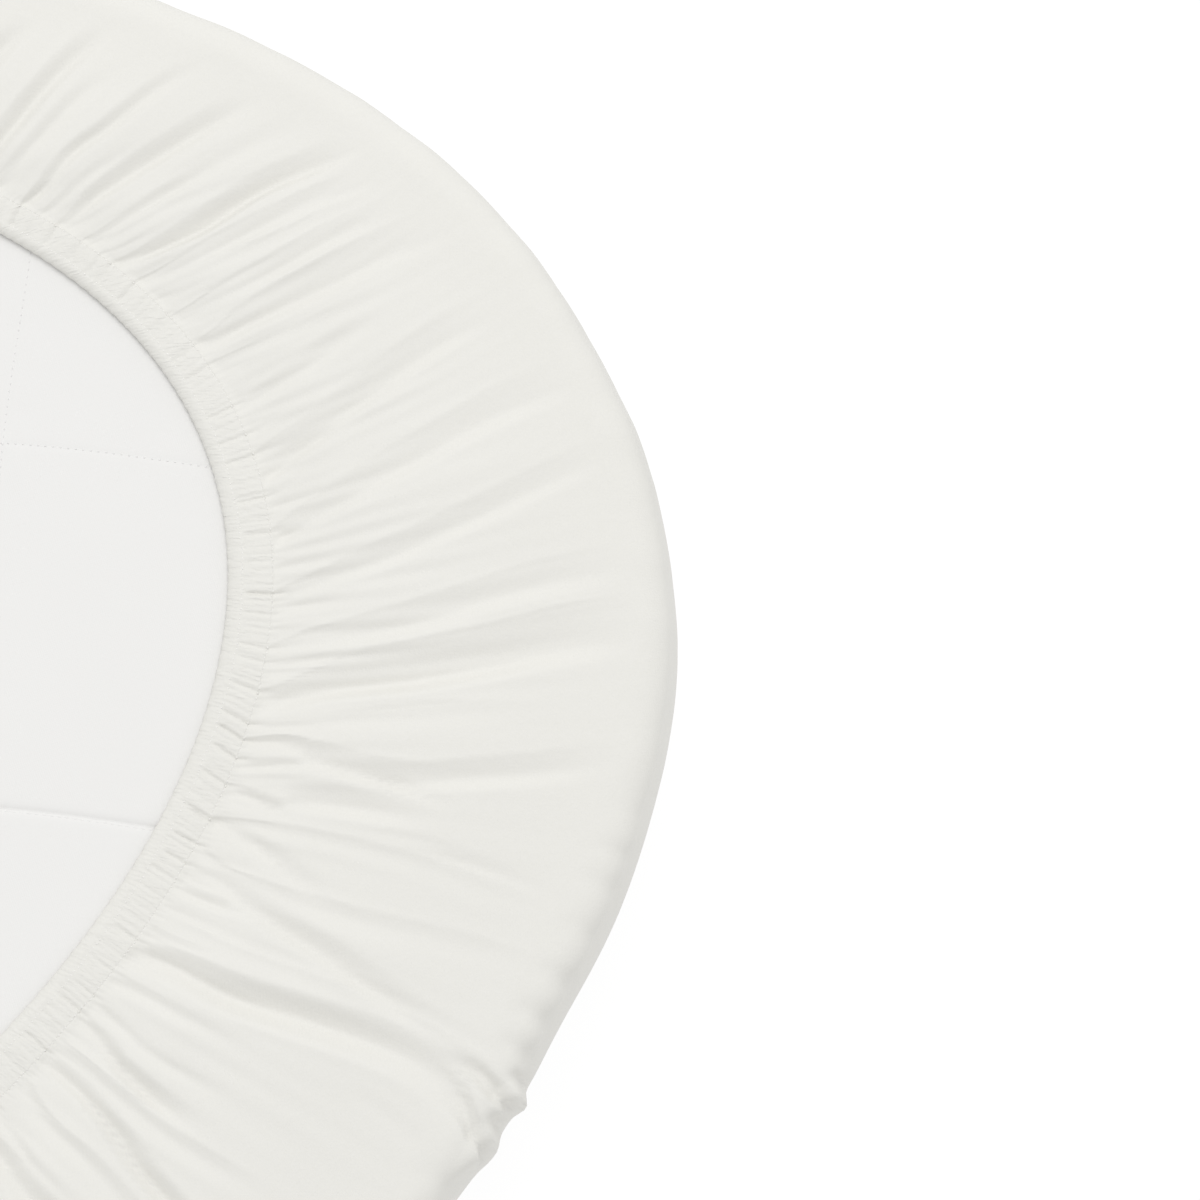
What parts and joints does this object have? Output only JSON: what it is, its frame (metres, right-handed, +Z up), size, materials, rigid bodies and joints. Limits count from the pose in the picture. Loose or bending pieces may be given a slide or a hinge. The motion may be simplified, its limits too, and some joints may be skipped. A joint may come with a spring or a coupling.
{
  "type": "fitted sheet on oval cot mattress",
  "caption": "Off-white jersey fitted sheet stretched over an oval quilted cot mattress, lying underside up, with its gathered elastic hem round an oval opening.",
  "frame": {"origin": "middle of the flat floor side of the sheet, on the surface that the part lies on", "axes": "+X along the length of the oval, +Y across it, +Z up towards the gathered hem and the quilted face"},
  "size_m": [1.1993, 0.67, 0.0931],
  "materials": {
    "jersey": "matt off-white cotton jersey",
    "ticking": "matt white quilted cotton"
  },
  "bodies": {
    "root": {"sheet": "jersey", "mattress": "ticking"}
  },
  "joints": []
}
